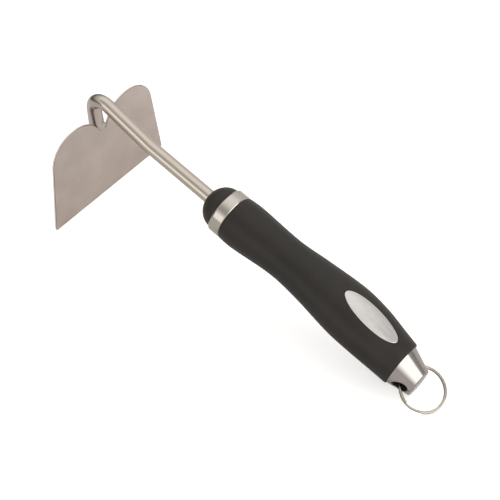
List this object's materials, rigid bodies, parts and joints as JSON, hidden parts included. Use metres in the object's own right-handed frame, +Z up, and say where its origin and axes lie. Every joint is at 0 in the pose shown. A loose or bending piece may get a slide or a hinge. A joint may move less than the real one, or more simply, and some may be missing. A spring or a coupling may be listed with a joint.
{
  "type": "weeding hoe",
  "caption": "Short draw hoe with a heart-shaped blade on a gooseneck bar, a contoured soft-grip handle and a split ring through a hollow end cap.",
  "frame": {"origin": "centre of the bounding box at the level of the table that the hoe rests on", "axes": "+X along the hoe from the blade to the butt, +Y across the blade, +Z up from the table; the XZ plane is the plane of symmetry of everything but the split ring"},
  "size_m": [0.2862, 0.1018, 0.0854],
  "materials": {
    "blade_steel": "satin",
    "bar_steel": "satin",
    "weld": "ground",
    "soft_rubber": "matt",
    "core_plastic": "matt",
    "collar_metal": "polished",
    "oval_metal": "satin",
    "cap_metal": "polished",
    "ring_wire": "bright"
  },
  "bodies": {
    "hoe": {"blade": "blade_steel", "neck": "bar_steel", "weld_left": "weld", "weld_right": "weld", "weld_notch": "weld", "nose_dome": "soft_rubber", "collar": "collar_metal", "handle_core": "core_plastic", "soft_grip": "soft_rubber", "oval_inlay": "oval_metal", "end_cap": "cap_metal"},
    "ring": {"split_ring": "ring_wire"}
  },
  "joints": [
    {"name": "ring_swing", "type": "hinge", "parent": "hoe", "child": "ring", "pos_m": [0.11966, 0, 0.01103], "axis": [0, 1, 0], "range_deg": [-100, 138]}
  ]
}
